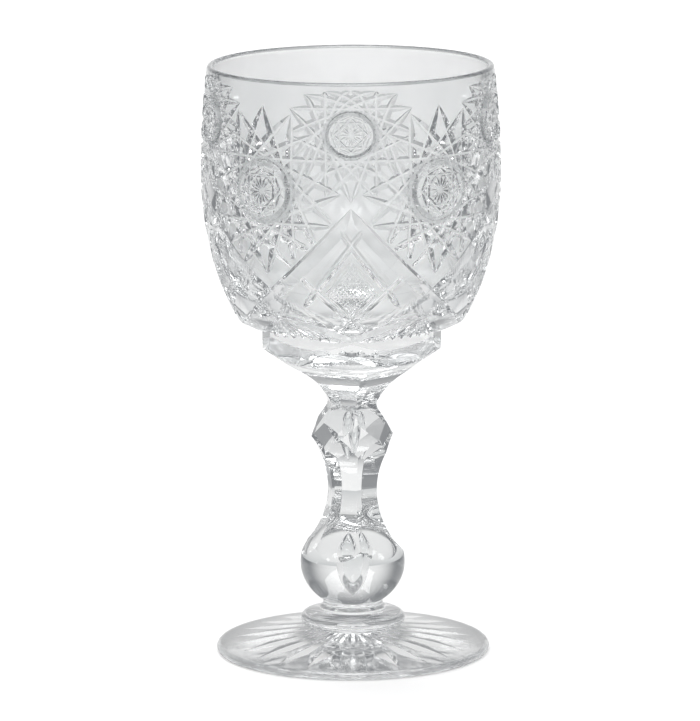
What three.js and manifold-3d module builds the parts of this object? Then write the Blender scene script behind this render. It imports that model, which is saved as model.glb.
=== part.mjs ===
// Cut glass goblet: a blown bowl, a solid drawn stem with two air tears, a merese and a foot.
// The four pieces are hot joined at flat faces, and the joined glass is then wheel cut.
// Millimetres, +Z up, with the origin at the middle of the foot's resting face.
import * as THREE from "three";
import { mergeVertices } from "three/addons/utils/BufferGeometryUtils.js";
import Module from "manifold-3d";

const wasm = await Module();
wasm.setup();

const { degToRad, lerp } = THREE.MathUtils;

// The stack, from the table up. Each piece stands on the one before.
const footHeight = 7;
const mereseHeight = 5.8;
const stemLength = 55.7;
const bowlHeight = 91.5;

// The cut pattern repeats this many times round the bowl. The stem has its own number of flutes.
const panelCount = 5;
const fluteCount = 6;
// The first edge between two flutes is a little out of line with the pattern on the bowl.
const stemTurn = degToRad(9.5);

// Foot: a shallow cone with a rounded edge, and a star of rays cut into its underside.
const footRadius = 36.8;
const footEdgeThickness = 2.4;
const footSeatRadius = 13;
const rayCount = 24;
const rayInnerRadius = 3;
const rayMargin = 4.4;
const rayWidestRadius = 23;
const rayDepth = 1.35;
const rayHalfAngle = degToRad(65);

// Merese: a flattened button of glass between the stem and the foot.
const mereseRadius = 14.1;
const mereseEdgeHeight = 3.8;
const mereseEdgeRound = 1.5;
const mereseUndercut = degToRad(45);
const mereseShoulder = degToRad(72);
const mereseBossRadius = 8.9;
const mereseBossHeight = 1.4;

// Stem, with heights above its lower end: bulb, fluted shaft, facetted knop and half of the neck.
const stemFootRadius = 8.1;
const stemFootHeight = 1.3;
const bulbRadius = 14.1;
const bulbHalfHeight = 12.5;
const shaftApothem = 6.1;
const shaftWaistHeight = 31.7;
const shaftWheelRadius = 24;
const knopBlankRadius = 13;
const knopDiamondApothem = 9.7;
const neckApothem = 6.1;
const neckWheelRadius = 3.65;
// Flats run on from the neck's flutes, down to the knop.
const neckFlatSlope = degToRad(58.5);

// Air tears, trapped by pricking each end of the hot stem before it was joined.
const bulbTearRadius = 2.5;
const bulbTearLength = 12;
const bulbTearRise = 7.2;
const knopTearRadius = 1.75;
const knopTearLength = 11;
const knopTearDrop = 3.5;
const prickRadius = 0.4;

// Bowl blank, with heights above its lower end at the neck.
const rimRadius = 38.3;
const lipThickness = 1.8;
const bellyRadius = 40.15;
const bellyHeight = 62.5;
const bellyCurve = 61;
const bellyWall = 3.9;
const bowlFloorHeight = 17.5;
const ledgeHeight = 19.5;
const bandCornerRadius = 25.1;
const bandTopHeight = 18.5;
const bandBottomHeight = 15.9;

// Under the band a cone falls to the neck. A large wheel, centred below the joint, cuts flutes up into it.
const underConeSlope = degToRad(36);
const underBlankRadius = 14;
const underWheelRadius = 20.7;
const underWheelDrop = 8.2;

// Long mitre cuts that frame the lower panels. Each runs from one panel's apex past the next panel's foot.
const apexHeight = 58.9;
const crossHeight = 36.6;
const lowCrossHeight = 22.8;
const longMitreEndHeight = 18.9;
const longMitrePanels = 1.25;
const longMitreDepth = 1.85;
const longMitreHalfAngle = degToRad(50);

// Short mitre cuts that frame the diamond inside each panel, and run past its corners.
const diamondTopHeight = 48.8;
const diamondSideHeight = 36.1;
const diamondLowHeight = 27.5;
const diamondHalfWidth = 9.4;
const diamondTail = 4.6;
const diamondDepth = 0.8;
const diamondHalfAngle = degToRad(48);

// Fans of short cuts between the panels, above the ledge.
const fanApexHeight = 28.9;
const fanRays = 7;
const fanReach = 9.6;
const fanRunOut = 4.8;
const fanSpread = degToRad(62);
const fanDepth = 0.6;
const fanHalfAngle = degToRad(48);

// Roundels: a small one above each panel and a large one between panels, each ringed by a channel.
const smallRoundelDrop = 13.6;
const smallRoundelRadius = 6.3;
const smallRingDepth = 0.5;
const largeRoundelDrop = 29;
const largeRoundelRadius = 8.3;
const largeRingDepth = 0.8;
const ringHalfAngle = degToRad(52);

// A star of straight mitre cuts that run past each large roundel, from every point to the third one on.
const starRadius = 22.5;
const starPoints = 8;
const starStride = 3;
const starDepth = 0.7;
const starHalfAngle = degToRad(49);
const starRunOut = 8;

// Resolution of round work, the length of a step along a cut, and how far a tool stands out of the glass.
const bowlSegments = 40;
const roundSegments = 40;
const wheelSegments = 40;
const tearSegments = 15;
const ringSegments = 16;
const cutStep = 7;
const toolLift = 1;

const panelAngle = (2 * Math.PI) / panelCount;
const fluteAngle = (2 * Math.PI) / fluteCount;
const panels = Array.from({ length: panelCount }, (_, i) => i * panelAngle);
const stemEdges = Array.from({ length: fluteCount }, (_, i) => stemTurn + i * fluteAngle);
// Longer than any piece of glass that a wheel or a flat tool has to clear.
const toolReach = 2 * bellyRadius;

const mereseBase = footHeight;
const stemBase = mereseBase + mereseHeight;
const bowlBase = stemBase + stemLength;

// A closed solid from a geometry: shared vertices are merged and triangles without area are dropped.
function solidFrom(geometry) {
  const bare = new THREE.BufferGeometry();
  bare.setAttribute("position", geometry.getAttribute("position"));
  bare.setIndex(geometry.getIndex());
  const merged = mergeVertices(bare, 1e-4);
  const index = merged.getIndex().array;
  const kept = [];
  for (let i = 0; i < index.length; i += 3) {
    const [a, b, c] = index.subarray(i, i + 3);
    if (a !== b && b !== c && a !== c) kept.push(a, b, c);
  }
  const mesh = new wasm.Mesh({
    numProp: 3,
    vertProperties: merged.getAttribute("position").array,
    triVerts: new Uint32Array(kept),
  });
  return new wasm.Manifold(mesh);
}

function geometryFrom(solid) {
  const mesh = solid.getMesh();
  const geometry = new THREE.BufferGeometry();
  geometry.setAttribute("position", new THREE.BufferAttribute(mesh.vertProperties, 3));
  geometry.setIndex(new THREE.BufferAttribute(mesh.triVerts, 1));
  return geometry;
}

function cut(blank, tools) {
  return tools.reduce((solid, tool) => solid.subtract(tool), blank);
}

// A solid of revolution about Z from a profile of [radius, height] points.
function turned(profile, segments) {
  const points = profile.map(([radius, height]) => new THREE.Vector2(radius, height));
  const geometry = new THREE.LatheGeometry(points, segments);
  geometry.rotateX(Math.PI / 2);
  return solidFrom(geometry);
}

// Profile points on part of an ellipse, from one angle to another, with both ends.
function arc(centreRadius, centreHeight, radius, height, from, to, steps) {
  return Array.from({ length: steps + 1 }, (_, i) => {
    const angle = lerp(from, to, i / steps);
    return [centreRadius + radius * Math.cos(angle), centreHeight + height * Math.sin(angle)];
  });
}

// A tool with a V section that follows stations of { point, normal, depth }, open or closed on itself.
function vTool(stations, halfAngle, closed = false) {
  const count = stations.length;
  const near = (i) => stations[closed ? (i + count) % count : Math.min(Math.max(i, 0), count - 1)];
  const positions = stations.flatMap(({ point, normal, depth }, i) => {
    const along = near(i + 1).point.clone().sub(near(i - 1).point);
    const side = along.cross(normal).normalize();
    const halfWidth = (depth + toolLift) * Math.tan(halfAngle);
    const bottom = point.clone().addScaledVector(normal, -depth);
    const top = point.clone().addScaledVector(normal, toolLift);
    const right = top.clone().addScaledVector(side, halfWidth);
    const left = top.clone().addScaledVector(side, -halfWidth);
    return [...bottom, ...right, ...left];
  });
  const index = [];
  for (let i = 0; i < (closed ? count : count - 1); i += 1) {
    const a = 3 * i;
    const b = 3 * ((i + 1) % count);
    for (const [k, next] of [[0, 1], [1, 2], [2, 0]]) {
      index.push(a + k, b + next, a + next, a + k, b + k, b + next);
    }
  }
  if (!closed) {
    const last = 3 * (count - 1);
    index.push(0, 1, 2, last, last + 2, last + 1);
  }
  const geometry = new THREE.BufferGeometry();
  geometry.setAttribute("position", new THREE.Float32BufferAttribute(positions, 3));
  geometry.setIndex(index);
  return solidFrom(geometry);
}

// A wheel that cuts a flute, flat across and hollow along the axis. It comes within `apothem` of the axis.
function fluteWheel(turn, apothem, height, radius) {
  const geometry = new THREE.CylinderGeometry(radius, radius, toolReach, wheelSegments);
  geometry.rotateZ(Math.PI / 2);
  geometry.translate(0, -apothem - radius, height);
  geometry.rotateZ(turn);
  return solidFrom(geometry);
}

// A block that cuts a standing flat, `apothem` from the axis, from `top` down to `depth` below it.
function standingFlat(turn, apothem, top, depth) {
  const geometry = new THREE.BoxGeometry(toolReach, toolReach, depth);
  geometry.translate(0, -apothem - toolReach / 2, top - depth / 2);
  geometry.rotateZ(turn);
  return solidFrom(geometry);
}

// A block that lies on a flat, which starts at `apothem` from the axis and `height`, and falls at `slope`.
function fallingFlat(turn, apothem, height, slope) {
  const geometry = new THREE.BoxGeometry(toolReach, toolReach, toolReach);
  geometry.translate(0, -toolReach / 2, toolReach / 2);
  geometry.rotateX(slope);
  geometry.translate(0, -apothem, height);
  geometry.rotateZ(turn);
  return solidFrom(geometry);
}

// Radius of the bowl's outside at a height above its lower end.
function skinRadius(height) {
  if (height < bellyHeight) return bellyRadius * Math.sqrt(1 - ((bellyHeight - height) / bellyCurve) ** 2);
  const rise = (height - bellyHeight) / (bowlHeight - bellyHeight);
  return lerp(bellyRadius, rimRadius, rise ** 2);
}

// A place on the skin, `across` and `up` in millimetres from a centre at a turn and a height.
function skinStation(turn, height, across, up, depth) {
  const at = height + up;
  const radius = skinRadius(at);
  const angle = turn + across / radius;
  const slope = (skinRadius(at + toolLift) - skinRadius(at - toolLift)) / (2 * toolLift);
  const outward = new THREE.Vector3(Math.sin(angle), -Math.cos(angle), 0);
  const normal = outward.clone().setZ(-slope).normalize();
  return { point: outward.multiplyScalar(radius).setZ(at), normal, depth };
}

// A straight cut on the skin between two [across, up] places, which runs out to nothing at both ends.
function skinMitre(turn, height, from, to, { depth, halfAngle, runOut, keep = () => true }) {
  const length = Math.hypot(to[0] - from[0], to[1] - from[1]);
  const steps = Math.ceil(length / cutStep);
  const places = Array.from({ length: steps + 1 }, (_, i) => {
    const share = i / steps;
    const toEnd = Math.min(share, 1 - share) * length;
    const easing = 1 - Math.max(1 - toEnd / runOut, 0) ** 2;
    return [lerp(from[0], to[0], share), lerp(from[1], to[1], share), depth * easing];
  });
  const kept = places.filter(([across, up]) => keep(across, up));
  return vTool(kept.map((place) => skinStation(turn, height, ...place)), halfAngle);
}

// Height of the long mitres above the half panel on either side of a panel's middle.
function longMitreHeight(turn) {
  const offset = Math.abs(turn - panelAngle * Math.round(turn / panelAngle));
  return lerp(apexHeight, crossHeight, offset / (panelAngle / 2));
}

function longMitre(turn, hand) {
  const route = new THREE.SplineCurve([
    new THREE.Vector2(0, apexHeight),
    new THREE.Vector2(panelAngle / 2, crossHeight),
    new THREE.Vector2(panelAngle, lowCrossHeight),
    new THREE.Vector2(panelAngle * longMitrePanels, longMitreEndHeight),
  ]);
  const steps = Math.ceil((panelAngle * bellyRadius) / cutStep);
  const stations = route.getPoints(steps).map((place, i) => {
    const depth = i === 0 || i === steps ? 0 : longMitreDepth;
    return skinStation(turn + hand * place.x, place.y, 0, 0, depth);
  });
  return vTool(stations, longMitreHalfAngle);
}

// The four mitres round a panel's diamond, each run past the corners where it meets the next.
function diamondMitres(turn) {
  const shape = { depth: diamondDepth, halfAngle: diamondHalfAngle, runOut: diamondTail };
  const corners = [diamondTopHeight, diamondTopHeight, diamondLowHeight, diamondLowHeight];
  return corners.map((height, i) => {
    const corner = new THREE.Vector2(0, height - diamondSideHeight);
    const side = new THREE.Vector2(i % 2 ? diamondHalfWidth : -diamondHalfWidth, 0);
    const tail = side.clone().sub(corner).setLength(diamondTail);
    return skinMitre(turn, diamondSideHeight, [...corner.sub(tail)], [...side.add(tail)], shape);
  });
}

function fanCuts(turn) {
  const shape = { depth: fanDepth, halfAngle: fanHalfAngle, runOut: fanRunOut };
  return Array.from({ length: fanRays }, (_, i) => {
    const lean = lerp(-fanSpread / 2, fanSpread / 2, i / (fanRays - 1));
    const end = [fanReach * Math.sin(lean), -fanReach * Math.cos(lean)];
    return skinMitre(turn, fanApexHeight, [0, 0], end, shape);
  });
}

function ringCut(turn, height, radius, depth) {
  const stations = Array.from({ length: ringSegments }, (_, i) => {
    const angle = (i / ringSegments) * 2 * Math.PI;
    return skinStation(turn, height, radius * Math.cos(angle), radius * Math.sin(angle), depth);
  });
  return vTool(stations, ringHalfAngle, true);
}

// A star of mitres, one point straight up, whose lower cuts stop in the long mitres.
function starCuts(turn, height) {
  const keep = (across, up) => height + up > longMitreHeight(turn + across / skinRadius(height + up));
  const shape = { depth: starDepth, halfAngle: starHalfAngle, runOut: starRunOut, keep };
  const tip = (i) => {
    const angle = Math.PI / 2 + (i / starPoints) * 2 * Math.PI;
    return [starRadius * Math.cos(angle), starRadius * Math.sin(angle)];
  };
  const points = Array.from({ length: starPoints }, (_, i) => i);
  return points.map((i) => skinMitre(turn, height, tip(i), tip(i + starStride), shape));
}

function bowlBlank() {
  const lipRadius = lipThickness / 2;
  const lipBase = bowlHeight - lipRadius;
  const hollow = bellyRadius - bellyWall;
  const lowerRows = [0, 0.13, 0.35, 0.63];
  const outside = lowerRows.map((share) => lerp(ledgeHeight, bellyHeight, share));
  outside.push(bellyHeight, (bellyHeight + lipBase) / 2);
  const coneHeight = bandBottomHeight - (bandCornerRadius - underBlankRadius) * Math.tan(underConeSlope);
  const profile = [
    [0, 0],
    [underBlankRadius, 0],
    [underBlankRadius, coneHeight],
    [bandCornerRadius, bandBottomHeight],
    [bandCornerRadius, bandTopHeight],
    ...outside.map((height) => [skinRadius(height), height]),
    ...arc(rimRadius - lipRadius, lipBase, lipRadius, lipRadius, 0, Math.PI, 4),
    ...arc(0, bellyHeight, hollow, bellyHeight - bowlFloorHeight, 0, -Math.PI / 2, 6).slice(0, -1),
    [0, bowlFloorHeight],
  ];
  return turned(profile, bowlSegments);
}

// A flute under the bowl. At the joint it is as near the axis as the neck's flute below it.
function underFlute(turn) {
  const reach = Math.sqrt(underWheelRadius ** 2 - underWheelDrop ** 2);
  return fluteWheel(turn, neckApothem + reach - underWheelRadius, -underWheelDrop, underWheelRadius);
}

// A side of the band, which has a corner below the middle of each panel.
function bandSide(turn) {
  const apothem = bandCornerRadius * Math.cos(panelAngle / 2);
  return standingFlat(turn, apothem, bandTopHeight, bandTopHeight + toolLift);
}

function makeBowl() {
  const smallHeight = bowlHeight - smallRoundelDrop;
  const largeHeight = bowlHeight - largeRoundelDrop;
  const tools = panels.flatMap((panel) => {
    const between = panel + panelAngle / 2;
    return [
      bandSide(between),
      ...starCuts(between, largeHeight),
      longMitre(panel, 1),
      longMitre(panel, -1),
      ...diamondMitres(panel),
      ...fanCuts(between),
      ringCut(panel, smallHeight, smallRoundelRadius, smallRingDepth),
      ringCut(between, largeHeight, largeRoundelRadius, largeRingDepth),
    ];
  });
  const flutes = stemEdges.map((edge) => underFlute(edge + fluteAngle / 2));
  return cut(bowlBlank(), [...flutes, ...tools]);
}

// The profile of an air tear and its prick channel, from the pricked end. The round end is `rise` in.
function tearProfile(radius, length, rise) {
  const steps = 9;
  // A square root at the round end and a straight taper at the point reach full width a third of the way.
  const widest = 1 / 3;
  const fullness = radius / (Math.sqrt(widest) * (1 - widest));
  const shares = Array.from({ length: steps - 1 }, (_, i) => ((i + 1) / steps) ** 2);
  const skin = shares.map((share) => [fullness * Math.sqrt(share) * (1 - share), rise + share * length]);
  const wide = skin.filter(([skinAt]) => skinAt > prickRadius);
  return [[0, -toolLift], [prickRadius, -toolLift], [prickRadius, rise], ...wide, [0, rise + length]];
}

function makeStem() {
  const bulbFoot = -Math.acos(stemFootRadius / bulbRadius);
  const bulbShoulder = Math.acos(knopBlankRadius / bulbRadius);
  const bulbHeight = stemFootHeight - bulbHalfHeight * Math.sin(bulbFoot);
  const profile = [
    [0, 0],
    [stemFootRadius, 0],
    ...arc(0, bulbHeight, bulbRadius, bulbHalfHeight, bulbFoot, bulbShoulder, 9),
    [knopBlankRadius, stemLength],
    [0, stemLength],
  ];
  // Each flat of the neck starts where the flute has reached the same slope.
  const neckFlatApothem = neckApothem + neckWheelRadius * (1 - Math.sin(neckFlatSlope));
  const neckFlatHeight = stemLength - neckWheelRadius * Math.cos(neckFlatSlope);
  const facets = stemEdges.flatMap((edge) => {
    const flute = edge + fluteAngle / 2;
    return [
      fluteWheel(flute, shaftApothem, shaftWaistHeight, shaftWheelRadius),
      fluteWheel(flute, neckApothem, stemLength, neckWheelRadius),
      fallingFlat(flute, neckFlatApothem, neckFlatHeight, neckFlatSlope),
      standingFlat(edge, knopDiamondApothem, stemLength, stemLength - shaftWaistHeight),
    ];
  });
  const bulbTear = tearProfile(bulbTearRadius, bulbTearLength, bulbTearRise);
  const knopTear = tearProfile(knopTearRadius, knopTearLength, knopTearDrop);
  const fromTop = knopTear.map(([radius, depth]) => [radius, stemLength - depth]).reverse();
  const tears = [bulbTear, fromTop].map((tear) => turned(tear, tearSegments));
  return cut(turned(profile, roundSegments), [...facets, ...tears]);
}

function makeMerese() {
  const edgeHalf = mereseEdgeHeight / 2;
  const edgeCentre = mereseRadius - mereseEdgeRound;
  const profile = [
    [0, 0],
    [footSeatRadius, 0],
    ...arc(edgeCentre, edgeHalf, mereseEdgeRound, edgeHalf, -mereseUndercut, mereseShoulder, 6),
    [mereseBossRadius, mereseHeight - mereseBossHeight],
    [mereseBossRadius, mereseHeight - mereseBossHeight / 2],
    [stemFootRadius, mereseHeight],
    [0, mereseHeight],
  ];
  return turned(profile, roundSegments);
}

// A ray under the foot, which widens outwards and then comes to a point. The front lies between two rays.
function footRay(turn) {
  const down = new THREE.Vector3(0, 0, -1);
  const places = [[rayInnerRadius, 0], [rayWidestRadius, rayDepth], [footRadius - rayMargin, 0]];
  const stations = places.map(([radius, depth]) => {
    const point = new THREE.Vector3(radius * Math.sin(turn), -radius * Math.cos(turn), 0);
    return { point, normal: down, depth };
  });
  return vTool(stations, rayHalfAngle);
}

function makeFoot() {
  const edge = footEdgeThickness / 2;
  const profile = [
    [0, 0],
    ...arc(footRadius - edge, edge, edge, edge, -Math.PI / 2, Math.PI / 2, 6),
    [footSeatRadius, footHeight],
    [0, footHeight],
  ];
  const rays = Array.from({ length: rayCount }, (_, i) => footRay(((i + 0.5) / rayCount) * 2 * Math.PI));
  return cut(turned(profile, roundSegments), rays);
}

// A named piece of clear glass, standing at its height in the stack.
function glassPiece(name, solid, height) {
  const material = new THREE.MeshStandardMaterial({ color: 0xdfe4e4, roughness: 0.04, metalness: 0 });
  const mesh = new THREE.Mesh(geometryFrom(solid), material);
  mesh.name = name;
  mesh.position.z = height;
  return mesh;
}

const goblet = new THREE.Group();
goblet.add(
  glassPiece("foot", makeFoot(), 0),
  glassPiece("merese", makeMerese(), mereseBase),
  glassPiece("stem", makeStem(), stemBase),
  glassPiece("bowl", makeBowl(), bowlBase),
);

export default goblet;
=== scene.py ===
import math

import bmesh
import bpy
import numpy as np
from mathutils import Euler, Matrix, Vector


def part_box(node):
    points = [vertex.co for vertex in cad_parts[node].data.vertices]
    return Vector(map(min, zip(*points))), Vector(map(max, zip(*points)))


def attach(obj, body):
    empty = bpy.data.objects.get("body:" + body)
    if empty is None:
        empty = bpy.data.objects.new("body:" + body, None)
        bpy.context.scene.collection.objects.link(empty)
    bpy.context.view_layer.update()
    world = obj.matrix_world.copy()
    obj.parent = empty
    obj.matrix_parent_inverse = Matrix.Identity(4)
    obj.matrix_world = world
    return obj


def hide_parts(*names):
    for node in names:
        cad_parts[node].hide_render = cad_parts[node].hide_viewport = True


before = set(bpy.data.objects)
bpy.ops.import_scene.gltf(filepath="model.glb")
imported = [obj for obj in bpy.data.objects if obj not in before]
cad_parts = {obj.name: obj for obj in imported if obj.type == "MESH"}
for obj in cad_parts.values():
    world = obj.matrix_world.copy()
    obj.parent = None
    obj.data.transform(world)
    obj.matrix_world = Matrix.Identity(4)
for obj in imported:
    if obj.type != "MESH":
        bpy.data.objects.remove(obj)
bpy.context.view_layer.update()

# Lengths are millimetres and angles are degrees; the finished meshes are in metres.
# A turn is measured from the front, -Y, towards +X.
scene = bpy.context.scene
toolLift = 1.0  # how far a cutting tool stands out of the glass
toolReach = 90.0  # longer than any glass that a wheel has to clear
jointGap = 0.02  # a face this close to a joint's height belongs to the joint
levelFacing = 0.999  # a face is level when its normal is this upright
finestTip = 0.02  # the narrowest flat at the bottom of a cut
sharpAngle = 14  # edges that turn more than this stay crisp


def linearColour(text):
    channels = [int(text[i:i + 2], 16) / 255 for i in (1, 3, 5)]
    linear = [c / 12.92 if c <= 0.04045 else ((c + 0.055) / 1.055) ** 2.4 for c in channels]
    return (*linear, 1.0)


def addNode(tree, kind, inputs=None, **settings):
    node = tree.nodes.new(kind)
    for key, value in settings.items():
        setattr(node, key, value)
    for key, value in (inputs or {}).items():
        if isinstance(value, bpy.types.NodeSocket):
            tree.links.new(value, node.inputs[key])
        else:
            node.inputs[key].default_value = value
    return node


def nodeSpan(name):
    low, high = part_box(name)
    return np.array(low) * 1000, np.array(high) * 1000


def meshObject(name, parts):
    points = []
    faces = []
    for partPoints, partFaces in parts:
        start = len(points)
        points += [tuple(np.array(point) / 1000) for point in partPoints]
        faces += [[start + i for i in face] for face in partFaces]
    mesh = bpy.data.meshes.new(name)
    mesh.from_pydata(points, [], faces)
    piece = bpy.data.objects.new(name, mesh)
    scene.collection.objects.link(piece)
    return piece


def outwardAt(turn):
    angle = math.radians(turn)
    return np.array([math.sin(angle), -math.cos(angle), 0.0])


def lathe(profile, segments):
    points = []
    rings = []
    for radius, height in profile:
        if radius < 1e-6:
            rings.append([len(points)] * segments)
            points.append((0, 0, height))
            continue
        rings.append(list(range(len(points), len(points) + segments)))
        for i in range(segments):
            points.append(outwardAt(360 * i / segments) * radius + [0, 0, height])
    faces = []
    for low, high in zip(rings, rings[1:]):
        for i in range(segments):
            k = (i + 1) % segments
            faces.append(list(dict.fromkeys([low[i], low[k], high[k], high[i]])))
    return points, faces


def flipped(part):
    points, faces = part
    return points, [face[::-1] for face in faces]


def arc(centre, radii, start, end, steps):
    angles = np.radians(np.linspace(start, end, steps + 1))
    return [(centre[0] + radii[0] * math.cos(a), centre[1] + radii[1] * math.sin(a)) for a in angles]


# A tool with a V section along stations of (point, normal, depth). The two half angles may differ,
# and a worn wheel leaves a narrow flat of a tip's width along the bottom.
def vTool(stations, halfAngle, closed=False, otherHalf=None, tip=0):
    count = len(stations)
    slope = math.tan(math.radians(halfAngle))
    otherSlope = math.tan(math.radians(otherHalf or halfAngle))
    deepest = max(depth for _, _, depth in stations)
    points = []
    for i, (point, normal, depth) in enumerate(stations):
        after = (i + 1) % count if closed else min(i + 1, count - 1)
        before = i - 1 if closed else max(i - 1, 0)
        side = np.cross(stations[after][0] - stations[before][0], normal)
        side = side / np.linalg.norm(side)
        half = max(tip * depth / deepest, finestTip) / 2 if tip else 0
        bottom = point - normal * depth
        top = point + normal * toolLift
        points += [bottom - side * half, bottom + side * half] if tip else [bottom]
        points += [top + side * (half + (depth + toolLift) * slope)]
        points += [top - side * (half + (depth + toolLift) * otherSlope)]
    corners = 4 if tip else 3
    faces = []
    for i in range(count if closed else count - 1):
        a = corners * i
        b = corners * ((i + 1) % count)
        for k in range(corners):
            n = (k + 1) % corners
            faces.append([a + k, b + k, b + n, a + n])
    if not closed:
        last = corners * (count - 1)
        faces += [list(range(corners)), [last + k for k in reversed(range(corners))]]
    return points, faces


# A wheel that cuts a flute, hollow along the axis. It comes within an apothem of the axis.
def fluteWheel(turn, apothem, height, radius, segments=240):
    outward = outwardAt(turn)
    across = outwardAt(turn + 90)
    centre = outward * (apothem + radius) + [0, 0, height]
    points = []
    for end in (-toolReach / 2, toolReach / 2):
        for i in range(segments):
            angle = 2 * math.pi * i / segments
            rim = outward * math.cos(angle) + np.array([0, 0, math.sin(angle)])
            points.append(centre + rim * radius + across * end)
    faces = [list(range(segments)), list(range(2 * segments - 1, segments - 1, -1))]
    for i in range(segments):
        k = (i + 1) % segments
        faces.append([k, i, segments + i, segments + k])
    return points, faces


# A block that cuts a flat at an apothem from the axis. A standing flat has slope 90;
# with less, the flat falls outwards and the block lies on it.
def flatTool(turn, apothem, height, slope, reach):
    outward = outwardAt(turn)
    across = outwardAt(turn + 90) * toolReach / 2
    fall = math.radians(slope)
    away = outward * math.cos(fall) - np.array([0, 0, math.sin(fall)])
    upward = outward * math.sin(fall) + np.array([0, 0, math.cos(fall)])
    near = outward * apothem + [0, 0, height]
    points = []
    for level in (near, near + upward * toolReach):
        points += [level - across, level + across]
        points += [level + across + away * reach, level - across + away * reach]
    faces = [[0, 3, 2, 1], [4, 5, 6, 7]]
    faces += [[k, (k + 1) % 4, (k + 1) % 4 + 4, k + 4] for k in range(4)]
    return flipped((points, faces))


# A block under a flat that rises outwards, from one (apothem, height) past another.
def risingTool(turn, low, high):
    outward = outwardAt(turn)
    across = outwardAt(turn + 90) * toolReach / 2
    run, rise = np.subtract(high, low)
    length = math.hypot(run, rise)
    along = (outward * run + [0, 0, rise]) / length
    below = (outward * rise - [0, 0, run]) / length * toolReach / 4
    start = outward * low[0] + [0, 0, low[1]]
    points = []
    for level in (start, start + along * length * 1.5):
        points += [level - across, level + across, level + across + below, level - across + below]
    faces = [[0, 3, 2, 1], [4, 5, 6, 7]]
    faces += [[k, (k + 1) % 4, (k + 1) % 4 + 4, k + 4] for k in range(4)]
    return flipped((points, faces))


print("stage: glass materials")

glass = {
    "ior": 1.545,
    "tints": ("#ffffff", "#f9fbfb"),
    "skinRoughness": 0.0,
    "cutRoughness": 0.012,
    "wearShares": (0.4, 1.6),  # how far the roughness wanders from place to place
    "bloomRoughness": 0.95,
    "bloomTones": (  # height above the table, and how much the bloom veils there
        (80, 0.0), (102, 0.26), (122, 0.38), (138, 0.66), (158.4, 0.66), (159.0, 0.0),
    ),
    "bloomColour": "#fbfbfb",
    "lipHeights": (158.4, 159.2),  # the bloom ends between these, and the lip is clear
    # painted shade: the lip's grey tint draws a fine dark line round the rim
    "lipPaintedShadeTints": ("#b2b4b6", "#a6a8aa"),
    "greyTints": ("#dadcdd", "#cfd1d2"),
    "greyRoughness": 0.3,
    # painted shade: the underside's grey tint darkens the foot seen through it
    "groundPaintedShadeTints": ("#9c9ea0", "#909294"),
    "groundRoughness": 0.12,
    "cordSpacing": 9.0,  # mm between the slow waves of blown glass
    "cordDepth": 0.02,
    "cordStretch": (1, 1, 0.35),  # they run up the glass
    "polishSpacing": 0.9,  # mm between the ripples of the polishing wheel, coarser than real to show
    "polishDepth": 0.0012,
}


def glassMaterial(name, spacing, depth, roughness, tints=glass["tints"], stretch=(1, 1, 1)):
    material = bpy.data.materials.new(name)
    material.use_nodes = True
    tree = material.node_tree
    tree.nodes.clear()
    coords = addNode(tree, "ShaderNodeTexCoord")
    placed = addNode(tree, "ShaderNodeMapping", {"Vector": coords.outputs["Object"], "Scale": stretch})
    waves = addNode(tree, "ShaderNodeTexNoise", {
        "Vector": placed.outputs[0], "Scale": 1000 / spacing, "Detail": 2.0, "Roughness": 0.4,
    })
    bump = addNode(tree, "ShaderNodeBump", {"Height": waves.outputs["Fac"], "Strength": 1.0})
    bump.inputs["Distance"].default_value = depth / 1000
    wear = roughness
    if roughness:
        least, most = glass["wearShares"]
        wear = addNode(tree, "ShaderNodeMapRange", {
            "Value": waves.outputs["Fac"], "From Min": 0.3, "From Max": 0.7,
            "To Min": roughness * least, "To Max": roughness * most,
        }).outputs[0]
    tint = addNode(tree, "ShaderNodeMix", {
        "Factor": waves.outputs["Fac"], 6: linearColour(tints[0]), 7: linearColour(tints[1]),
    }, data_type="RGBA")
    shader = addNode(tree, "ShaderNodeBsdfPrincipled", {
        "Base Color": tint.outputs[2], "IOR": glass["ior"],
        "Transmission Weight": 1.0, "Roughness": wear, "Normal": bump.outputs[0],
    })
    addNode(tree, "ShaderNodeOutputMaterial", {"Surface": shader.outputs[0]})
    return material


# Fire polished skin: slow cords in the glass bend what is seen through it a little.
skinGlass = glassMaterial("crystal fire polished", glass["cordSpacing"], glass["cordDepth"],
                          glass["skinRoughness"], stretch=glass["cordStretch"])
# Wheel cut facets: bright and flat, with the faintest ripple left by the polishing wheel.
cutGlass = glassMaterial("crystal wheel cut and polished", glass["polishSpacing"],
                         glass["polishDepth"], glass["cutRoughness"])
# The lip: a round edge tinted grey, a painted dark line round the rim.
lipPaintedLineGlass = glassMaterial("crystal lip with painted dark line", glass["cordSpacing"], glass["cordDepth"],
                         glass["skinRoughness"], glass["lipPaintedShadeTints"])
# Channels round the hobstars: left grey by a finer wheel, so they are soft beside the bright cuts.
greyGlass = glassMaterial("crystal wheel cut and left grey", glass["polishSpacing"],
                          glass["polishDepth"], glass["greyRoughness"], glass["greyTints"])
# Under the foot: ground level and polished less, so it is rougher than the rays cut into it, and
# tinted grey as painted shade.
groundWithPaintedShadeGlass = glassMaterial("crystal ground level with painted shade", glass["polishSpacing"],
                            glass["polishDepth"], glass["groundRoughness"], glass["groundPaintedShadeTints"])


# Where two pieces are fused the glass runs on: light goes straight through these faces.
def fusedMaterial(name):
    material = glassMaterial(name, glass["cordSpacing"], glass["cordDepth"], 0.0)
    material.node_tree.nodes["Principled BSDF"].inputs["Alpha"].default_value = 0.0
    return material


fusedGlass = fusedMaterial("crystal fused joint")


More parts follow.
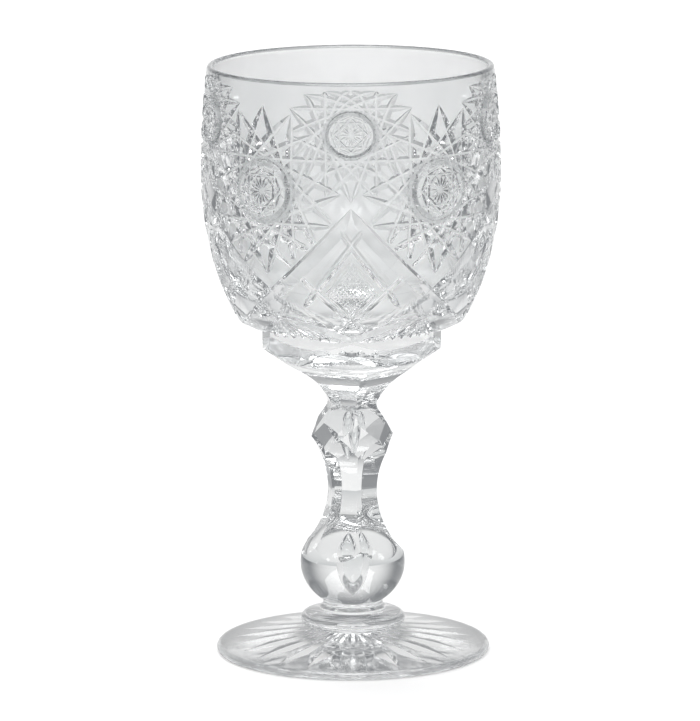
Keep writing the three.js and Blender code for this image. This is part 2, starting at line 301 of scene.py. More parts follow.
# Inside of the bowl: bright from within the glass, with a bloom on the air side that softens
# the far wall.
def insideMaterial(name):
    material = glassMaterial(name, glass["cordSpacing"], glass["cordDepth"], 0.0,
                             stretch=glass["cordStretch"])
    tree = material.node_tree
    shader = tree.nodes["Principled BSDF"]
    side = addNode(tree, "ShaderNodeNewGeometry")
    coords = addNode(tree, "ShaderNodeTexCoord")
    place = addNode(tree, "ShaderNodeSeparateXYZ", {"Vector": coords.outputs["Object"]})
    low, high = glass["lipHeights"]
    underLip = addNode(tree, "ShaderNodeMapRange", {
        "Value": place.outputs["Z"], "From Min": low / 1000, "From Max": high / 1000,
        "To Min": glass["bloomRoughness"], "To Max": 0.0,
    })
    airSide = addNode(tree, "ShaderNodeMath", {
        0: 1.0, 1: side.outputs["Backfacing"],
    }, operation="SUBTRACT")
    rough = addNode(tree, "ShaderNodeMath", {
        0: underLip.outputs[0], 1: airSide.outputs[0],
    }, operation="MULTIPLY")
    tree.links.new(rough.outputs[0], shader.inputs["Roughness"])
    top = glass["bloomTones"][-1][0]
    level = addNode(tree, "ShaderNodeMath", {0: place.outputs["Z"], 1: top / 1000}, operation="DIVIDE")
    tones = addNode(tree, "ShaderNodeValToRGB", {"Fac": level.outputs[0]})
    for height, tone in glass["bloomTones"][:-1]:
        tones.color_ramp.elements.new(height / top).color = (tone, tone, tone, 1)
    tones.color_ramp.elements[-1].color = (0, 0, 0, 1)
    share = addNode(tree, "ShaderNodeMath", {
        0: tones.outputs[0], 1: airSide.outputs[0],
    }, operation="MULTIPLY")
    veil = addNode(tree, "ShaderNodeBsdfDiffuse", {"Color": linearColour(glass["bloomColour"])})
    veiled = addNode(tree, "ShaderNodeMixShader", {
        0: share.outputs[0], 1: shader.outputs[0], 2: veil.outputs[0],
    })
    tree.links.new(veiled.outputs[0], tree.nodes["Material Output"].inputs["Surface"])
    return material


insideGlass = insideMaterial("crystal inside with a faint bloom")


# Repeats one set of tools round the axis and cuts them all out of a blank.
def wheelCuttingTree():
    tree = bpy.data.node_groups.new("wheel cutting", "GeometryNodeTree")
    sockets = {
        "Blank": "NodeSocketGeometry", "Tools": "NodeSocketObject", "Copies": "NodeSocketInt",
        "Sharp Angle": "NodeSocketFloat", "Skin": "NodeSocketMaterial", "Cut": "NodeSocketMaterial",
    }
    for name, kind in sockets.items():
        tree.interface.new_socket(name, in_out="INPUT", socket_type=kind)
    tree.interface.new_socket("Glass", in_out="OUTPUT", socket_type="NodeSocketGeometry")
    given = addNode(tree, "NodeGroupInput").outputs
    tools = addNode(tree, "GeometryNodeObjectInfo", {"Object": given["Tools"]})
    marked = addNode(tree, "GeometryNodeStoreNamedAttribute", {
        "Geometry": tools.outputs["Geometry"], "Name": "cut", "Value": True,
    }, data_type="BOOLEAN", domain="FACE")
    step = addNode(tree, "ShaderNodeMath", {0: math.tau, 1: given["Copies"]}, operation="DIVIDE")
    index = addNode(tree, "GeometryNodeInputIndex")
    turn = addNode(tree, "ShaderNodeMath", {
        0: index.outputs[0], 1: step.outputs[0],
    }, operation="MULTIPLY")
    rotation = addNode(tree, "ShaderNodeCombineXYZ", {"Z": turn.outputs[0]})
    places = addNode(tree, "GeometryNodePoints", {"Count": given["Copies"]})
    copies = addNode(tree, "GeometryNodeInstanceOnPoints", {
        "Points": places.outputs[0], "Instance": marked.outputs[0], "Rotation": rotation.outputs[0],
    })
    real = addNode(tree, "GeometryNodeRealizeInstances", {"Geometry": copies.outputs[0]})
    island = addNode(tree, "GeometryNodeInputMeshIsland")
    single = addNode(tree, "GeometryNodeSplitToInstances", {
        "Geometry": real.outputs[0], "Group ID": island.outputs["Island Index"],
    }, domain="FACE")
    cut = addNode(tree, "GeometryNodeMeshBoolean", {
        "Mesh 1": given["Blank"], "Mesh 2": single.outputs[0],
    }, operation="DIFFERENCE", solver="MANIFOLD")
    smooth = addNode(tree, "GeometryNodeSetShadeSmooth", {
        "Geometry": cut.outputs[0], "Shade Smooth": True,
    }, domain="FACE")
    angle = addNode(tree, "GeometryNodeInputMeshEdgeAngle")
    sharp = addNode(tree, "ShaderNodeMath", {
        0: angle.outputs[0], 1: given["Sharp Angle"],
    }, operation="GREATER_THAN")
    edges = addNode(tree, "GeometryNodeSetShadeSmooth", {
        "Geometry": smooth.outputs[0], "Selection": sharp.outputs[0], "Shade Smooth": False,
    }, domain="EDGE")
    whole = addNode(tree, "GeometryNodeRealizeInstances", {"Geometry": edges.outputs[0]})
    skin = addNode(tree, "GeometryNodeSetMaterial", {
        "Geometry": whole.outputs[0], "Material": given["Skin"],
    })
    isCut = addNode(tree, "GeometryNodeInputNamedAttribute", {"Name": "cut"}, data_type="BOOLEAN")
    faced = addNode(tree, "GeometryNodeSetMaterial", {
        "Geometry": skin.outputs[0], "Selection": isCut.outputs[0], "Material": given["Cut"],
    })
    addNode(tree, "NodeGroupOutput", {"Glass": faced.outputs[0]})
    return tree


wheelCutting = wheelCuttingTree()


# Two faces on the same corners are a flake with no glass in it.
def dropFlakes(mesh):
    shape = bmesh.new()
    shape.from_mesh(mesh)
    flakes = []
    for face in shape.faces:
        neighbours = {other for edge in face.edges for other in edge.link_faces if other != face}
        if len(neighbours) == 1:
            flakes.append(face)
    bmesh.ops.delete(shape, geom=flakes, context="FACES")
    shape.to_mesh(mesh)
    shape.free()


# Flat faces at a joint's height take the fused glass. A piece may pick the glass of its other faces.
def finishMesh(mesh, jointHeights, pickGlass):
    given = [mesh.materials[face.material_index] for face in mesh.polygons]
    mesh.materials.clear()  # this also sets each face back to the first material
    used = []
    for face in mesh.polygons:
        isCut = given[face.index] == cutGlass
        chosen = cutGlass if isCut else skinGlass
        level = any(abs(face.center.z * 1000 - height) < jointGap for height in jointHeights)
        if level and abs(face.normal.z) > levelFacing:
            chosen = fusedGlass
        elif pickGlass:
            chosen = pickGlass(face, isCut)
        if chosen not in used:
            used.append(chosen)
            mesh.materials.append(chosen)
        face.material_index = used.index(chosen)


# Cuts sets of (copies, tools) out of the blank and hands it over as a plain mesh.
def cutPiece(name, node, blankParts, toolSets, jointHeights, pickGlass=None):
    piece = meshObject(name, blankParts)
    toolObjects = []
    for copies, toolParts in toolSets:
        tools = meshObject(name + "Tools", toolParts)
        modifier = piece.modifiers.new("wheel cutting", "NODES")
        modifier.node_group = wheelCutting
        values = {
            "Tools": tools, "Copies": copies, "Sharp Angle": math.radians(sharpAngle),
            "Skin": skinGlass, "Cut": cutGlass,
        }
        for item in wheelCutting.interface.items_tree:
            if item.name in values:
                modifier[item.identifier] = values[item.name]
        toolObjects.append(tools)
    evaluated = piece.evaluated_get(bpy.context.evaluated_depsgraph_get())
    mesh = bpy.data.meshes.new_from_object(evaluated)
    piece.modifiers.clear()
    for tools in toolObjects:
        bpy.data.objects.remove(tools)
    dropFlakes(mesh)
    finishMesh(mesh, jointHeights, pickGlass)
    piece.data = mesh
    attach(piece, "root")
    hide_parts(node)
    print(name, "triangles:", sum(len(face.vertices) - 2 for face in mesh.polygons))


print("stage: bowl")

bowlLow, bowlHigh = nodeSpan("bowl")
stemLow, stemHigh = nodeSpan("stem")
mereseLow, mereseHigh = nodeSpan("merese")
footHigh = nodeSpan("foot")[1]

bowl = {
    "bellyRadius": bowlHigh[0],
    "height": bowlHigh[2] - bowlLow[2],
    "rimRadius": 38.3,
    "lipThickness": 1.8,
    "lipPaintedLineShare": 0.42,  # how far down the lip's painted dark line comes
    "bellyHeight": 62.5,  # heights are above the bowl's lower end
    "bellyCurve": 61.0,
    "wall": 3.9,
    "floorHeight": 17.5,
    "ledgeHeight": 21.5,
    "bandRadius": 25.1,
    "bandTop": 20.5,
    "bandBottom": 15.9,
    "panels": 5,
    "coneSlope": 36,
    "coneBlank": 14.0,
    "underWheel": 20.7,
    "underWheelDrop": 8.2,
    "segments": 240,
    "outsideRings": 56,
    "lipRings": 24,
    "upperRings": 16,
    "insideRings": 40,
    "cutStep": 1.6,
    "fewestSteps": 6,
}
halfPanel = 180 / bowl["panels"]

stem = {
    "footRadius": 8.1, "footHeight": 1.3,
    "bulbRadius": 14.1, "bulbHalfHeight": 12.5,
    "flutes": 6, "turn": 9.5,
    "shaftApothem": 6.1, "shaftWaist": 31.7, "shaftWheel": 24.0,
    "knopBlank": 13.0, "knopApothem": 9.7,
    "neckApothem": 6.1, "neckWheel": 3.65, "neckFlatSlope": 58.5,
    "segments": 160, "bulbRings": 48,
}
fluteTurn = stem["turn"] + 180 / stem["flutes"]

# Stars are drawn from point to point. The cuts run out to nothing at both ends.
smallStar = {
    "height": 78.0, "points": 16, "stride": 6, "radius": 17.8,
    "depth": 1.05, "halfAngle": 37, "tip": 0.5, "runOut": 7.5,
    "bendFrom": 7.0, "bendReach": 5.0, "bendEase": 4.5,
}
largeStar = {
    "height": 62.5, "points": 16, "stride": 6, "radius": 22.5,
    "depth": 1.2, "halfAngle": 37, "tip": 0.55, "runOut": 8.5,
}
smallRoundel = {
    "height": 78.0, "across": 6.65, "up": 5.95, "depth": 1.5, "halfAngle": 30, "width": 1.7,
    "hobstar": 5.6, "lineDepth": 0.4, "lineHalfAngle": 36, "lineTip": 0.2,
}
largeRoundel = {
    "height": 62.5, "across": 8.6, "up": 7.9, "depth": 0.95, "halfAngle": 52, "width": 2.4,
    "hobstar": 7.2, "lineDepth": 0.46, "lineHalfAngle": 37, "lineTip": 0.26,
}
hobstar = {  # offsets and reaches are shares of its size
    "chords": 8, "rayReach": 0.56, "chordOffset": 0.56, "chordReach": 0.86,
    "pointOffset": 0.8, "pointReach": 0.56, "runOut": 1.6, "ringSteps": 72,
}
longMitre = {  # steep above and broad below; past its first crossing it is a fine line
    "turns": (0, 36, 72, 90), "heights": (58.9, 35.2, 22.8, 18.9),
    "depth": 1.4, "fineDepth": 0.5, "fineTurns": (33, 41),
    "upperHalf": 28, "lowerHalf": 67, "runOut": 6.0, "steps": 48,
}
diamond = {
    "top": 48.8, "side": 36.1, "low": 27.5, "halfWidth": 9.4, "tail": 6.0,
    "depth": 0.95, "halfAngle": 38, "tip": 0.4, "runOut": 2.5,
    "hatchTop": 44.8, "hatchSide": 35.2, "hatchLow": 28.2, "hatchHalfWidth": 7.0, "hatchLines": 12,
    "hatchDepth": 0.27, "hatchHalfAngle": 58, "hatchRunOut": 1.2,
}
fan = {  # cut on a flat that rises from the band to its point on the skin
    "apex": 28.0, "apexRadius": 33.3, "rays": 8, "halfWidth": 10.5, "low": 19.7, "steps": 6,
    "depth": 1.0, "halfAngle": 41, "tip": 0.35,
}
leaf = {
    "start": (0.8, 28.7), "end": (13.6, 26.4), "depth": 0.42, "halfAngle": 77, "runOut": 7.0,
}


def skinRadius(height):
    if height < bowl["bellyHeight"]:
        fall = (bowl["bellyHeight"] - height) / bowl["bellyCurve"]
        return bowl["bellyRadius"] * math.sqrt(1 - fall ** 2)
    rise = (height - bowl["bellyHeight"]) / (bowl["height"] - bowl["bellyHeight"])
    return bowl["bellyRadius"] + (bowl["rimRadius"] - bowl["bellyRadius"]) * rise ** 2


# A place on the skin, millimetres across and up from a centre at a turn and a height.
def skinStation(turn, height, across, up, depth):
    at = height + up
    radius = skinRadius(at)
    outward = outwardAt(turn + math.degrees(across / radius))
    slope = (skinRadius(at + toolLift) - skinRadius(at - toolLift)) / (2 * toolLift)
    normal = outward - [0, 0, slope]
    return outward * radius + [0, 0, at + bowlLow[2]], normal / np.linalg.norm(normal), depth


# A straight cut between two places on the skin. A bend moves its places, and keep drops some.
def skinCut(turn, height, start, end, depth, halfAngle, runOut, bend=None, keep=None, tip=0):
    length = math.dist(start, end)
    steps = max(bowl["fewestSteps"], math.ceil(length / bowl["cutStep"]))
    stations = []
    for share in np.linspace(0, 1, steps + 1):
        across = start[0] + (end[0] - start[0]) * share
        up = start[1] + (end[1] - start[1]) * share
        toEnd = min(share, 1 - share) * length
        ease = 1 - max(1 - toEnd / runOut, 0) ** 2
        if bend:
            up = bend(up)
        if keep is None or keep(across, up):
            stations.append(skinStation(turn, height, across, up, depth * ease))
    return vTool(stations, halfAngle, tip=tip)


def longMitreHeight(turn):
    offset = abs(turn - 2 * halfPanel * round(turn / (2 * halfPanel)))
    return np.interp(offset, longMitre["turns"], longMitre["heights"])


def starCuts(turn, star):
    height = star["height"]
    stepAngle = math.tau / star["points"]
    tips = [(star["radius"] * math.sin(i * stepAngle), star["radius"] * math.cos(i * stepAngle))
            for i in range(star["points"])]

    # The points near the rim are pressed down, so that they stay in the glass.
    def bend(up):
        over = up - star["bendFrom"]
        if over <= 0:
            return up
        return star["bendFrom"] + star["bendReach"] * (1 - math.exp(-over / star["bendEase"]))

    def keep(across, up):
        at = turn + math.degrees(across / skinRadius(height + up))
        return height + up > longMitreHeight(at)

    cuts = []
    for i in range(star["points"]):
        end = tips[(i + star["stride"]) % star["points"]]
        cuts.append(skinCut(turn, height, tips[i], end, star["depth"], star["halfAngle"],
                            star["runOut"], bend if "bendFrom" in star else None, keep, star["tip"]))
    return cuts


# A channel round a hobstar: rays through the middle, and two rings of crossing chords.
def roundelCuts(turn, roundel):
    height = roundel["height"]
    ring = []
    for angle in np.linspace(0, math.tau, hobstar["ringSteps"], endpoint=False):
        place = roundel["across"] * math.cos(angle), roundel["up"] * math.sin(angle)
        ring.append(skinStation(turn, height, *place, roundel["depth"]))
    cuts = [vTool(ring, roundel["halfAngle"], closed=True)]
    size = roundel["hobstar"]
    step = 360 / hobstar["chords"]
    turns = [step * i for i in range(hobstar["chords"])]
    lines = [(angle / 2, 0, hobstar["rayReach"]) for angle in turns]
    lines += [(angle, hobstar["chordOffset"], hobstar["chordReach"]) for angle in turns]
    lines += [(angle + step / 2, hobstar["pointOffset"], hobstar["pointReach"]) for angle in turns]
    for direction, offset, reach in lines:
        along = math.sin(math.radians(direction)), math.cos(math.radians(direction))
        middle = -along[1] * offset * size, along[0] * offset * size
        start = [m - a * reach * size for m, a in zip(middle, along)]
        end = [m + a * reach * size for m, a in zip(middle, along)]
        cuts.append(skinCut(turn, height, start, end, roundel["lineDepth"], roundel["lineHalfAngle"],
                            hobstar["runOut"], tip=roundel["lineTip"]))
    return cuts


def longMitreCut(hand):
    degree = len(longMitre["turns"]) - 1  # a curve through every place
    route = np.polyfit(longMitre["turns"], longMitre["heights"], degree)
    first, last = longMitre["turns"][0], longMitre["turns"][-1]
    stations = []
    for turn in np.linspace(first, last, longMitre["steps"]):
        height = np.polyval(route, turn)
        toEnd = math.radians(min(turn - first, last - turn)) * skinRadius(height)
        ease = 1 - max(1 - toEnd / longMitre["runOut"], 0) ** 2
        depth = np.interp(turn, longMitre["fineTurns"], (longMitre["depth"], longMitre["fineDepth"]))
        stations.append(skinStation(hand * turn, height, 0, 0, depth * ease))
    halves = longMitre["lowerHalf"], longMitre["upperHalf"]
    return vTool(stations, halves[0 if hand > 0 else 1], otherHalf=halves[1 if hand > 0 else 0])


def diamondCuts():
    cuts = []
    side = diamond["side"]
    for hand in (-1, 1):
        for corner in (diamond["top"], diamond["low"]):
            start = np.array([0, corner - side])
            end = np.array([hand * diamond["halfWidth"], 0])
            tail = (end - start) / np.linalg.norm(end - start) * diamond["tail"]
            cuts.append(skinCut(0, side, start - tail, end + tail, diamond["depth"],
                                diamond["halfAngle"], diamond["runOut"], tip=diamond["tip"]))
    # Strawberry diamond: fine mitres each way leave rows of little points.
    low = np.array([0, diamond["hatchLow"] - diamond["hatchSide"]])
    high = np.array([0, diamond["hatchTop"] - diamond["hatchSide"]])
    for hand in (-1, 1):
        left = np.array([-hand * diamond["hatchHalfWidth"], 0])
        right = -left
        for share in np.linspace(0, 1, diamond["hatchLines"] + 1):
            start = high + (left - high) * share
            end = right + (low - right) * share
            cuts.append(skinCut(0, diamond["hatchSide"], start, end, diamond["hatchDepth"],
                                diamond["hatchHalfAngle"], diamond["hatchRunOut"]))
    return cuts


def bandApothem():
    return bowl["bandRadius"] * math.cos(math.radians(halfPanel))


def fanFlat():
    low = bandApothem(), bowlLow[2] + bowl["bandTop"]
    return risingTool(halfPanel, low, (fan["apexRadius"], bowlLow[2] + fan["apex"]))


# A ray runs down the flat from its point, over the edge and a little way down the band.
def fanRay(across):
    outward = outwardAt(halfPanel)
    side = outwardAt(halfPanel + 90)
    run = fan["apexRadius"] - bandApothem()
    rise = fan["apex"] - bowl["bandTop"]
    facing = (outward * rise - [0, 0, run]) / math.hypot(run, rise)
    stations = []
    for share in np.linspace(0, 1, fan["steps"] + 1):
        point = outward * (fan["apexRadius"] - run * share) + side * across * share
        point = point + [0, 0, bowlLow[2] + fan["apex"] - rise * share]
        stations.append((point, facing, fan["depth"] * math.sqrt(share)))
    edge = stations.pop()[0]
    bend = facing + outward
    stations.append((edge, bend / np.linalg.norm(bend), fan["depth"]))
    foot = edge - [0, 0, bowl["bandTop"] - fan["low"]]
    stations.append((foot, outward, 0))
    return vTool(stations, fan["halfAngle"], tip=fan["tip"])


def fanCuts():
    places = np.linspace(-fan["halfWidth"], fan["halfWidth"], fan["rays"])
    cuts = [fanFlat()] + [fanRay(across) for across in places]
    for hand in (-1, 1):
        start = hand * leaf["start"][0], 0
        end = hand * leaf["end"][0], leaf["end"][1] - leaf["start"][1]
        cuts.append(skinCut(halfPanel, leaf["start"][1], start, end, leaf["depth"],
                            leaf["halfAngle"], leaf["runOut"]))
    return cuts


# A flute under the bowl. At the joint it is as near the axis as the neck's flute below it.
def underFlute():
    reach = math.sqrt(bowl["underWheel"] ** 2 - bowl["underWheelDrop"] ** 2)
    apothem = stem["neckApothem"] + reach - bowl["underWheel"]
    return fluteWheel(fluteTurn, apothem, bowlLow[2] - bowl["underWheelDrop"], bowl["underWheel"])


# A side of the band, which has a corner below the middle of each panel.
def bandSide():
    top = bowlLow[2] + bowl["bandTop"]
    return flatTool(halfPanel, bandApothem(), top, 90, bowl["bandTop"] + toolLift)


def bowlBlank():
    lip = bowl["lipThickness"] / 2
    lipBase = bowl["height"] - lip
    hollow = bowl["bellyRadius"] - bowl["wall"]
    depth = bowl["bellyHeight"] - bowl["floorHeight"]
    inside = arc((0, bowl["bellyHeight"]), (hollow, depth), 0, -90, bowl["insideRings"])
    outside = np.linspace(bowl["ledgeHeight"], lipBase, bowl["outsideRings"])[:-1]
    upperInside = np.linspace(lipBase, bowl["bellyHeight"], bowl["upperRings"])[1:-1]
    coneFall = (bowl["bandRadius"] - bowl["coneBlank"]) * math.tan(math.radians(bowl["coneSlope"]))
    profile = [(0, 0), (bowl["coneBlank"], 0), (bowl["coneBlank"], bowl["bandBottom"] - coneFall)]
    profile += [(bowl["bandRadius"], bowl["bandBottom"]), (bowl["bandRadius"], bowl["bandTop"])]
    profile += [(skinRadius(height), height) for height in outside]
    profile += arc((bowl["rimRadius"] - lip, lipBase), (lip, lip), 0, 180, bowl["lipRings"])
    innerRim = bowl["rimRadius"] - bowl["lipThickness"]
    for height in upperInside:
        rise = (height - bowl["bellyHeight"]) / (lipBase - bowl["bellyHeight"])
        profile.append((hollow + (innerRim - hollow) * rise ** 2, height))
    profile += inside[:-1] + [(0, bowl["floorHeight"])]
    return lathe([(radius, height + bowlLow[2]) for radius, height in profile], bowl["segments"])


# The lip, the inside and the grey channels each have their own glass.
def bowlGlass(face, isCut):
    place = np.array(face.center) * 1000
    height = place[2] - bowlLow[2]
    if not isCut:
        # Painted shade: the top of the lip takes the grey tinted glass of the painted dark line.
        if height > bowl["height"] - bowl["lipThickness"] * bowl["lipPaintedLineShare"]:
            return lipPaintedLineGlass
        inward = np.dot(place[:2], face.normal[:2]) < jointGap
        return insideGlass if inward and height > bowl["floorHeight"] - toolLift else skinGlass
    turn = math.degrees(math.atan2(place[0], -place[1]))
    for centre, roundel in ((0, smallRoundel), (halfPanel, largeRoundel)):
        offset = (turn - centre + halfPanel) % (2 * halfPanel) - halfPanel
        across = math.radians(offset) * math.hypot(place[0], place[1]) / roundel["across"]
        reach = math.hypot(across, (height - roundel["height"]) / roundel["up"])
        if abs(reach - 1) * roundel["across"] < roundel["width"] / 2:
            return greyGlass
    return cutGlass


bowlTools = [bandSide()] + starCuts(0, smallStar) + starCuts(halfPanel, largeStar)
bowlTools += roundelCuts(0, smallRoundel) + roundelCuts(halfPanel, largeRoundel)
bowlTools += [longMitreCut(1), longMitreCut(-1)] + diamondCuts() + fanCuts()
bowlSets = [(bowl["panels"], bowlTools), (stem["flutes"], [underFlute()])]
cutPiece("cutBowl", "bowl", [bowlBlank()], bowlSets, [bowlLow[2]], bowlGlass)


print("stage: stem")

tears = [
    {"low": 6.2, "length": 12.6, "radius": 2.9, "up": 1, "blunt": 0.7},
    {"low": 52.2, "length": 11.0, "radius": 1.75, "up": -1, "blunt": 0.5},
]
tearRings = 25
tearSegments = 48


def stemBlank():
    length = stemHigh[2] - stemLow[2]
    foot = -math.degrees(math.acos(stem["footRadius"] / stem["bulbRadius"]))
    shoulder = math.degrees(math.acos(stem["knopBlank"] / stem["bulbRadius"]))
    middle = stem["footHeight"] - stem["bulbHalfHeight"] * math.sin(math.radians(foot))
    radii = stem["bulbRadius"], stem["bulbHalfHeight"]
    bulb = arc((0, middle), radii, foot, shoulder, stem["bulbRings"])
    profile = [(0, 0), (stem["footRadius"], 0)] + bulb
    profile += [(stem["knopBlank"], length), (0, length)]
    return lathe([(radius, height + stemLow[2]) for radius, height in profile], stem["segments"])


# An air tear: round at the end that was pricked, and drawn out to a point.
def tearHollow(tear):
    blunt = tear["blunt"]
    widest = blunt / (1 + blunt)
    fullness = tear["radius"] / (widest ** blunt * (1 - widest))
    profile = []
    for share in np.linspace(0, 1, tearRings) ** 2:
        radius = fullness * share ** blunt * (1 - share)
        profile.append((radius, stemLow[2] + tear["low"] + tear["up"] * share * tear["length"]))
    if tear["up"] < 0:
        profile = profile[::-1]
    return flipped(lathe(profile, tearSegments))


def stemTools():
    waist = stemLow[2] + stem["shaftWaist"]
    slope = math.radians(stem["neckFlatSlope"])
    flatApothem = stem["neckApothem"] + stem["neckWheel"] * (1 - math.sin(slope))
    flatHeight = stemHigh[2] - stem["neckWheel"] * math.cos(slope)
    return [
        fluteWheel(fluteTurn, stem["shaftApothem"], waist, stem["shaftWheel"]),
        fluteWheel(fluteTurn, stem["neckApothem"], stemHigh[2], stem["neckWheel"]),
        flatTool(fluteTurn, flatApothem, flatHeight, stem["neckFlatSlope"], toolReach),
        flatTool(stem["turn"], stem["knopApothem"], stemHigh[2], 90, stemHigh[2] - waist),
    ]


stemParts = [stemBlank()] + [tearHollow(tear) for tear in tears]
cutPiece("facettedStem", "stem", stemParts, [(stem["flutes"], stemTools())],
         [stemLow[2], stemHigh[2]])


print("stage: merese and foot")

merese = {
    "radius": mereseHigh[0], "edgeHeight": 3.8, "edgeRound": 2.4, "undercut": 70, "shoulder": 72,
    "bossRadius": 8.9, "bossHeight": 1.4, "seatRadius": 12.2, "segments": 160,
    "edgeRings": 20,
}
foot = {
    "radius": footHigh[0], "edge": 2.4, "rays": 24, "rayInner": 3.0, "rayMargin": 4.4,
    "rayWidest": 23.0, "rayDepth": 1.5, "rayHalfAngle": 60, "rayTip": 0.3, "segments": 192,
    "edgeRings": 24,
    "dish": 0.06,  # inside the ring that it stands on
    "groundFacing": 0.99,  # how upright the normals are on the ground underside
}


def mereseBlank():
    height = mereseHigh[2] - mereseLow[2]
    half = merese["edgeHeight"] / 2
    middle = merese["radius"] - merese["edgeRound"], half
    rim = arc(middle, (merese["edgeRound"], half), -merese["undercut"], merese["shoulder"],
              merese["edgeRings"])
    boss = merese["bossRadius"]
    profile = [(0, 0), (merese["seatRadius"], 0)] + rim
    profile += [(boss, height - merese["bossHeight"]), (boss, height - merese["bossHeight"] / 2)]
    profile += [(stem["footRadius"], height), (0, height)]
    return lathe([(radius, at + mereseLow[2]) for radius, at in profile], merese["segments"])


def footBlank():
    edge = foot["edge"] / 2
    profile = [(0, foot["dish"]), (foot["radius"] - foot["rayMargin"], foot["dish"])]
    profile += arc((foot["radius"] - edge, edge), (edge, edge), -90, 90, foot["edgeRings"])
    profile += [(merese["seatRadius"], footHigh[2]), (0, footHigh[2])]
    return lathe(profile, foot["segments"])


# A ray under the foot, which widens outwards and then comes to a point.
# The front lies between two rays.
def footRay():
    outward = outwardAt(180 / foot["rays"])
    down = np.array([0, 0, -1.0])
    radii = [foot["rayInner"], foot["rayWidest"], foot["radius"] - foot["rayMargin"]]
    depths = [0, foot["rayDepth"], 0]
    stations = [(outward * radius, down, depth) for radius, depth in zip(radii, depths)]
    return vTool(stations, foot["rayHalfAngle"], tip=foot["rayTip"])


def footGlass(face, isCut):
    if isCut:
        return cutGlass
    # Painted shade: the level underside takes the grey tinted ground glass.
    return groundWithPaintedShadeGlass if face.normal.z < -foot["groundFacing"] else skinGlass


# Nothing is cut out of the merese: the tree only smooths it.
cutPiece("mereseButton", "merese", [mereseBlank()], [(0, [])],
         [mereseLow[2], mereseHigh[2]])
cutPiece("rayedFoot", "foot", [footBlank()], [(foot["rays"], [footRay()])], [footHigh[2]],
         footGlass)


print("stage: studio")

studio = {
    "cameraPlace": (-0.48, -1523.46, 371.54),
    "cameraPitch": 10.851,
    "cameraRoll": -0.261,
    "focalPixels": 5773.3,
    "imageHeight": 721,
    "tableLit": "#9a9a9a",  # the part of the table's white that its shadow takes away
    "tableGlow": 0.45,
    "tablePaintedShadeTones": (  # radius and colour of the table as seen through the glass: painted shadow rings under the merese and the foot's rim, painted grey towards the edge
        (8, "#cccdce"), (14, "#a4a5a6"), (17, "#ececec"), (27, "#eeeeee"), (34, "#b8b9ba"),
        (39, "#a0a1a2"), (45, "#f2f2f2"), (198, "#cdcfd0"),
    ),
    "tableEdge": 200.0,
    "floorReach": 6000,
    "room": "#808285",
    "backdrop": "#fbfbfb",
    "backdropAxis": (0, 0.982, -0.188),
    "backdropSpan": (0.64, 1.03),
    "softboxAxis": (0, 0, 1),
    "softboxSpan": (0.84, 0.93),
    "lamps": (  # power, spread and tilt: over the camera, over the back and at both sides
        (2.8, 54, (36, -3)),
        (2.6, 40, (-20, -4)),
        (1.1, 60, (0, 52)),
        (1.1, 60, (0, -52)),
    ),
}


def setCamera():
    data = bpy.data.cameras.new("camera")
    data.sensor_fit = "VERTICAL"
    data.sensor_height = 36.0
    data.lens = studio["focalPixels"] * data.sensor_height / studio["imageHeight"]
    data.clip_end = 20.0
    camera = bpy.data.objects.new("camera", data)
    scene.collection.objects.link(camera)
    turn = Matrix.Rotation(math.radians(90 - studio["cameraPitch"]), 4, "X")
    roll = Matrix.Rotation(math.radians(studio["cameraRoll"]), 4, "Z")
    camera.matrix_world = Matrix.Translation(Vector(studio["cameraPlace"]) / 1000) @ turn @ roll
    scene.camera = camera


# A grey room with a white backdrop that fades outwards, and a softbox overhead.
def setWorld():
    world = bpy.data.worlds.new("studio")
    world.use_nodes = True
    scene.world = world
    tree = world.node_tree
    tree.nodes.clear()
    coords = addNode(tree, "ShaderNodeTexCoord")
    whites = []
    for name in ("backdrop", "softbox"):
        axis = studio[name + "Axis"]
        span = studio[name + "Span"]
        along = addNode(tree, "ShaderNodeVectorMath", {
            0: coords.outputs["Generated"], 1: axis,
        }, operation="DOT_PRODUCT")
        whites.append(addNode(tree, "ShaderNodeMapRange", {
            "Value": along.outputs["Value"], "From Min": span[0], "From Max": span[1],
        }, interpolation_type="SMOOTHSTEP").outputs[0])
    lit = addNode(tree, "ShaderNodeMath", {0: whites[0], 1: whites[1]}, operation="MAXIMUM")
    around = addNode(tree, "ShaderNodeMix", {
        "Factor": lit.outputs[0], 6: linearColour(studio["room"]), 7: linearColour(studio["backdrop"]),
    }, data_type="RGBA")
    path = addNode(tree, "ShaderNodeLightPath")
    seen = addNode(tree, "ShaderNodeMix", {
        "Factor": path.outputs["Is Camera Ray"], 6: around.outputs[2], 7: (1, 1, 1, 1),
    }, data_type="RGBA")
    shade = addNode(tree, "ShaderNodeBackground", {"Color": seen.outputs[2], "Strength": 1.0})
    addNode(tree, "ShaderNodeOutputWorld", {"Surface": shade.outputs[0]})
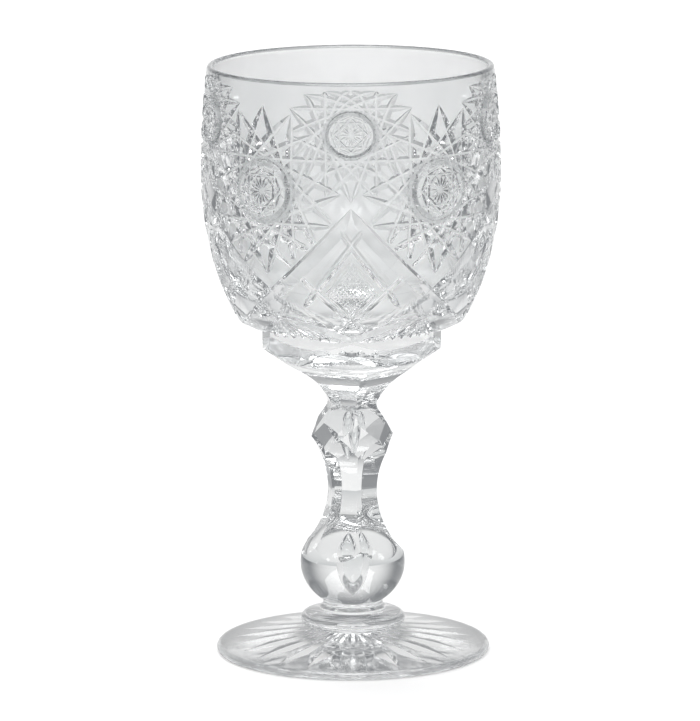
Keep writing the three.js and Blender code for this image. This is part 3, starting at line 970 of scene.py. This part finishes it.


# The camera sees a white floor with the shadow. What the glass bends sees a glowing table with painted
# shade:
# painted shadow rings under the merese and the foot's rim, white round them and painted grey towards
# its edge, with the room beyond.
def setFloor():
    size = studio["floorReach"]
    points = [(-size, -size, 0), (size, -size, 0), (size, size, 0), (-size, size, 0)]
    floor = meshObject("floor", [(points, [[0, 1, 2, 3]])])
    material = bpy.data.materials.new("matte white table top with painted shade")
    material.use_nodes = True
    tree = material.node_tree
    tree.nodes.clear()
    coords = addNode(tree, "ShaderNodeTexCoord")
    away = addNode(tree, "ShaderNodeVectorMath", {0: coords.outputs["Object"]}, operation="LENGTH")
    edge = studio["tableEdge"] / 1000
    share = addNode(tree, "ShaderNodeMath", {0: away.outputs["Value"], 1: edge}, operation="DIVIDE")
    tones = addNode(tree, "ShaderNodeValToRGB", {"Fac": share.outputs[0]})
    for radius, colour in studio["tablePaintedShadeTones"]:
        element = tones.color_ramp.elements.new(radius / studio["tableEdge"])
        element.color = linearColour(colour)
    for spare in (tones.color_ramp.elements[-1], tones.color_ramp.elements[0]):
        tones.color_ramp.elements.remove(spare)
    # Painted shade: these glowing tones hold the shadow rings and the grey falloff.
    table = addNode(tree, "ShaderNodeEmission", {"Color": tones.outputs[0], "Strength": 1.0})
    clear = addNode(tree, "ShaderNodeBsdfTransparent")
    beyond = addNode(tree, "ShaderNodeMath", {0: share.outputs[0], 1: 1.0}, operation="GREATER_THAN")
    bent = addNode(tree, "ShaderNodeMixShader", {
        0: beyond.outputs[0], 1: table.outputs[0], 2: clear.outputs[0],
    })
    matte = addNode(tree, "ShaderNodeBsdfDiffuse", {"Color": linearColour(studio["tableLit"])})
    white = addNode(tree, "ShaderNodeEmission", {
        "Color": (1, 1, 1, 1), "Strength": studio["tableGlow"],
    })
    direct = addNode(tree, "ShaderNodeAddShader", {0: matte.outputs[0], 1: white.outputs[0]})
    path = addNode(tree, "ShaderNodeLightPath")
    surface = addNode(tree, "ShaderNodeMixShader", {
        0: path.outputs["Is Camera Ray"], 1: bent.outputs[0], 2: direct.outputs[0],
    })
    addNode(tree, "ShaderNodeOutputMaterial", {"Surface": surface.outputs[0]})
    floor.data.materials.append(material)


# Only the lamp over the camera shows in the glass. The others are for the shadow and the bloom.
def addLamps():
    for power, spread, tilt in studio["lamps"]:
        data = bpy.data.lights.new("studio lamp", "SUN")
        data.energy = power
        data.angle = math.radians(spread)
        lamp = bpy.data.objects.new("studio lamp", data)
        lamp.rotation_euler = Euler([math.radians(angle) for angle in (*tilt, 0)])
        lamp.visible_glossy = tilt[0] > 0
        lamp.visible_transmission = tilt[0] > 0
        scene.collection.objects.link(lamp)


setCamera()
setWorld()
setFloor()
addLamps()

scene.view_settings.view_transform = "Standard"
scene.cycles.max_bounces = 32
scene.cycles.transmission_bounces = 32
scene.cycles.glossy_bounces = 16
scene.cycles.transparent_max_bounces = 32
